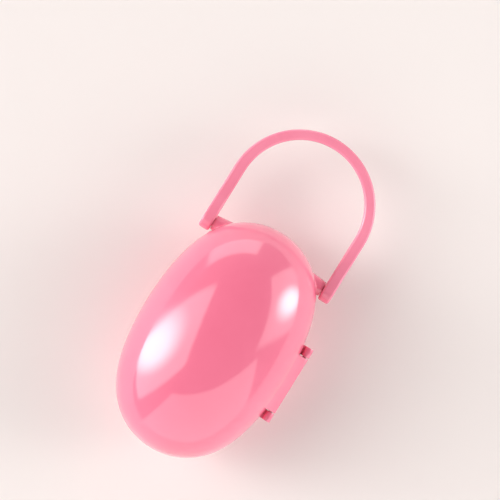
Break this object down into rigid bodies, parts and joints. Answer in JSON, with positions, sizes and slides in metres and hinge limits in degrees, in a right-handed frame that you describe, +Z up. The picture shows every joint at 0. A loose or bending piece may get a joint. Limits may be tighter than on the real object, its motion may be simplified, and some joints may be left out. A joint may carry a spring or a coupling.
{
  "type": "pacifier case",
  "caption": "Egg-shaped pacifier case whose lid shell is hinged along one flank and snaps onto its base shell, with a U-shaped carry loop that swings on pegs at one end.",
  "frame": {"origin": "centre of the flat foot that the case stands on", "axes": "+Z up, +Y along the case towards the carry loop, +X across it towards the hinge"},
  "size_m": [0.0538, 0.1146, 0.0426],
  "materials": {
    "shell_pink": "gloss",
    "loop_pink": "satin",
    "peg_pink": "satin",
    "pin_steel": "drawn wire"
  },
  "bodies": {
    "base": {"base_shell": "shell_pink", "hinge_pin": "pin_steel", "loop_peg_left": "peg_pink", "loop_peg_right": "peg_pink"},
    "lid": {"lid_shell": "shell_pink"},
    "loop": {"carry_loop": "loop_pink"}
  },
  "joints": [
    {"name": "lid_hinge", "type": "hinge", "parent": "base", "child": "lid", "pos_m": [0.0268, 0, 0.0206], "axis": [0, 1, 0], "range_deg": [0, 165]},
    {"name": "loop_swing", "type": "hinge", "parent": "base", "child": "loop", "pos_m": [0, 0.0315, 0.0168], "axis": [1, 0, 0], "range_deg": [-20, 110]}
  ]
}
